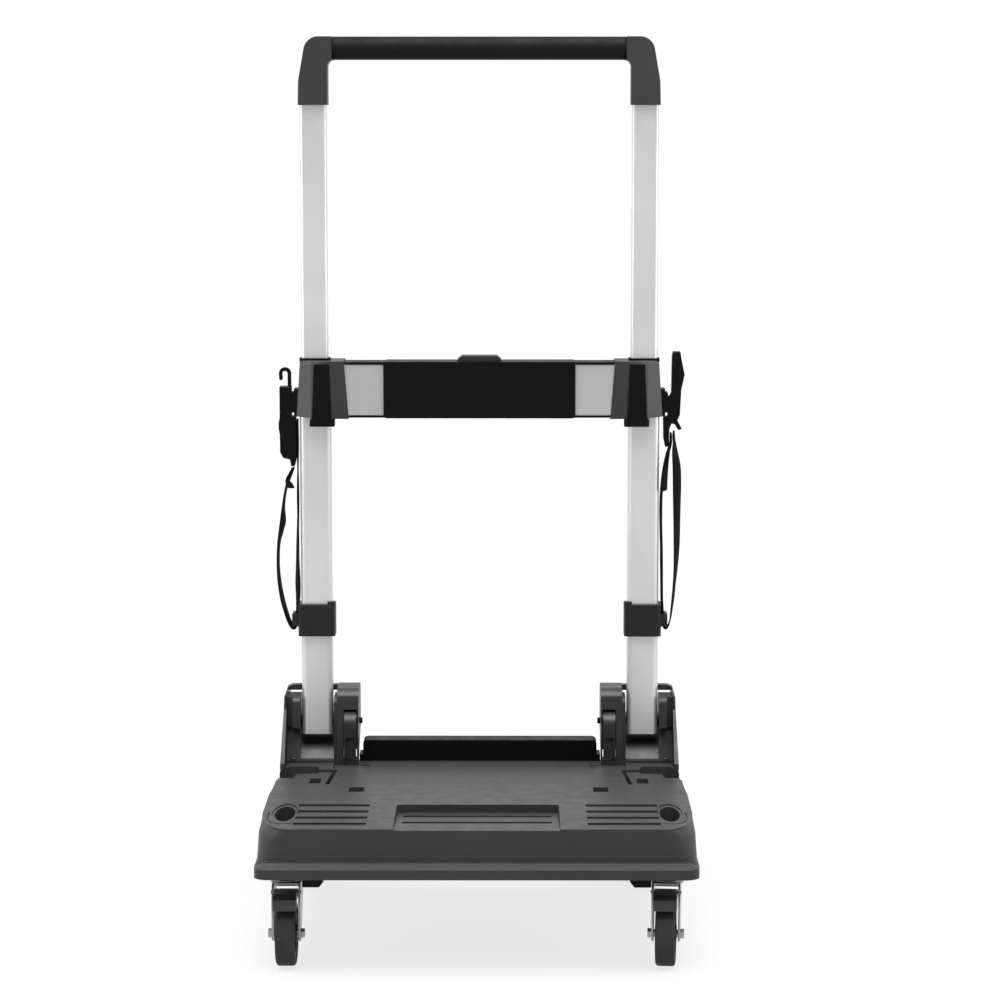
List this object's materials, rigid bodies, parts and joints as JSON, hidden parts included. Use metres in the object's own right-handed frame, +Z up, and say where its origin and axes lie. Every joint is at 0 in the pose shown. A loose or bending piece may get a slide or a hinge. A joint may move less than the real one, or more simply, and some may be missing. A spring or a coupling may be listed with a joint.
{
  "type": "folding platform cart",
  "caption": "Folding platform cart: moulded deck with straps, telescopic handle frame that folds onto it, braked swivel casters in front and large wheels behind.",
  "frame": {"origin": "on the floor, under the middle of the whole cart's box", "axes": "+X to the right seen from the front, +Y towards the rear wheels, +Z up"},
  "size_m": [0.4462, 0.494, 0.94],
  "materials": {
    "deck": "moulded, fine grain",
    "housing": "moulded, fine grain",
    "black_plastic": "moulded, satin",
    "collar_plastic": "moulded, fine grain",
    "handle_plastic": "moulded, fine grain",
    "grip": "soft, matt",
    "tube": "satin anodised",
    "bar": "brushed, satin anodised",
    "zinc": "bright zinc plated",
    "tyre": "matt rubber",
    "rim": "moulded, satin",
    "webbing": "woven webbing"
  },
  "bodies": {
    "chassis": {"deck_tray": "deck", "deck_feet": "black_plastic", "rear_crossmember": "black_plastic", "housing_screws": "housing", "rear_axle": "zinc", "axle_caps": "black_plastic", "latch_pins": "zinc", "caster_screws": "zinc", "wheel_housing_left": "housing", "wheel_housing_right": "housing", "pivot_pin_left": "black_plastic", "pivot_pin_right": "black_plastic", "caster_plate_left": "zinc", "caster_plate_right": "zinc"},
    "lower_frame": {"crossbar": "bar", "crossbar_cover": "black_plastic", "frame_screws": "zinc", "lower_tube_left": "tube", "lower_tube_right": "tube", "tube_foot_left": "black_plastic", "tube_foot_right": "black_plastic", "strap_clamp_left": "black_plastic", "strap_clamp_right": "black_plastic", "collar_left": "collar_plastic", "collar_right": "collar_plastic", "collar_insert_left": "black_plastic", "collar_insert_right": "black_plastic", "strap_holder_left": "black_plastic", "strap_holder_right": "black_plastic", "strap_webbing_left": "webbing", "strap_webbing_right": "webbing", "strap_buckle_left": "black_plastic", "strap_buckle_right": "black_plastic"},
    "handle": {"handle_frame": "handle_plastic", "handle_grip": "grip", "upper_tube_left": "tube", "upper_tube_right": "tube", "tube_guide_left": "black_plastic", "tube_guide_right": "black_plastic"},
    "release_button": {"release_button": "collar_plastic"},
    "fold_latch_left": {"fold_latch_left": "housing"},
    "rear_wheel_left": {"wheel_tyre_left": "tyre", "wheel_rim_left": "rim", "wheel_bush_left": "black_plastic"},
    "caster_left": {"caster_fork_left": "zinc", "caster_axle_left": "zinc"},
    "caster_wheel_left": {"caster_tyre_left": "tyre", "caster_core_left": "rim"},
    "brake_left": {"brake_pedal_left": "black_plastic"},
    "lock_bolt_left": {"lock_bolt_left": "zinc"},
    "fold_latch_right": {"fold_latch_right": "housing"},
    "rear_wheel_right": {"wheel_tyre_right": "tyre", "wheel_rim_right": "rim", "wheel_bush_right": "black_plastic"},
    "caster_right": {"caster_fork_right": "zinc", "caster_axle_right": "zinc"},
    "caster_wheel_right": {"caster_tyre_right": "tyre", "caster_core_right": "rim"},
    "brake_right": {"brake_pedal_right": "black_plastic"},
    "lock_bolt_right": {"lock_bolt_right": "zinc"}
  },
  "joints": [
    {"name": "frame_fold", "type": "hinge", "parent": "chassis", "child": "lower_frame", "pos_m": [0, 0.098, 0.192], "axis": [1, 0, 0], "range_deg": [0, 90]},
    {"name": "handle_slide", "type": "slide", "parent": "lower_frame", "child": "handle", "axis": [0, 0, 1], "range_m": [-0.255, 0]},
    {"name": "release_button_press", "type": "slide", "parent": "lower_frame", "child": "release_button", "axis": [0, 0, 1], "range_m": [-0.005, 0], "stiffness_N_per_m": 400, "springref_m": 0.002},
    {"name": "fold_latch_left_pull", "type": "hinge", "parent": "chassis", "child": "fold_latch_left", "pos_m": [-0.1423, 0.084, 0.199], "axis": [-1, 0, 0], "range_deg": [0, 20], "stiffness_Nm_per_rad": 0.05},
    {"name": "rear_wheel_left_spin", "type": "hinge", "parent": "chassis", "child": "rear_wheel_left", "pos_m": [-0.187, 0.158, 0.089], "axis": [1, 0, 0], "continuous": true},
    {"name": "caster_left_swivel", "type": "hinge", "parent": "chassis", "child": "caster_left", "pos_m": [-0.1935, -0.175, 0.086], "axis": [0, 0, 1], "continuous": true},
    {"name": "caster_wheel_left_spin", "type": "hinge", "parent": "caster_left", "child": "caster_wheel_left", "pos_m": [-0.1935, -0.197, 0.033], "axis": [1, 0, 0], "continuous": true},
    {"name": "brake_left_press", "type": "hinge", "parent": "caster_left", "child": "brake_left", "pos_m": [-0.1935, -0.199, 0.076], "axis": [1, 0, 0], "range_deg": [0, 5.8]},
    {"name": "lock_bolt_left_draw", "type": "slide", "parent": "lower_frame", "child": "lock_bolt_left", "axis": [1, 0, 0], "range_m": [0, 0.006]},
    {"name": "fold_latch_right_pull", "type": "hinge", "parent": "chassis", "child": "fold_latch_right", "pos_m": [0.1423, 0.084, 0.199], "axis": [-1, 0, 0], "range_deg": [0, 20], "stiffness_Nm_per_rad": 0.05},
    {"name": "rear_wheel_right_spin", "type": "hinge", "parent": "chassis", "child": "rear_wheel_right", "pos_m": [0.187, 0.158, 0.089], "axis": [1, 0, 0], "continuous": true},
    {"name": "caster_right_swivel", "type": "hinge", "parent": "chassis", "child": "caster_right", "pos_m": [0.1935, -0.175, 0.086], "axis": [0, 0, 1], "continuous": true},
    {"name": "caster_wheel_right_spin", "type": "hinge", "parent": "caster_right", "child": "caster_wheel_right", "pos_m": [0.19158, -0.19692, 0.033], "axis": [0.9962, -0.0872, 0], "continuous": true},
    {"name": "brake_right_press", "type": "hinge", "parent": "caster_right", "child": "brake_right", "pos_m": [0.19141, -0.19891, 0.076], "axis": [0.9962, -0.0872, 0], "range_deg": [0, 5.8]},
    {"name": "lock_bolt_right_draw", "type": "slide", "parent": "lower_frame", "child": "lock_bolt_right", "axis": [-1, 0, 0], "range_m": [0, 0.006]}
  ],
  "couplings": [
    {"joint": "lock_bolt_left_draw", "follows": "release_button_press", "ratio": -1.2},
    {"joint": "lock_bolt_right_draw", "follows": "release_button_press", "ratio": -1.2}
  ]
}
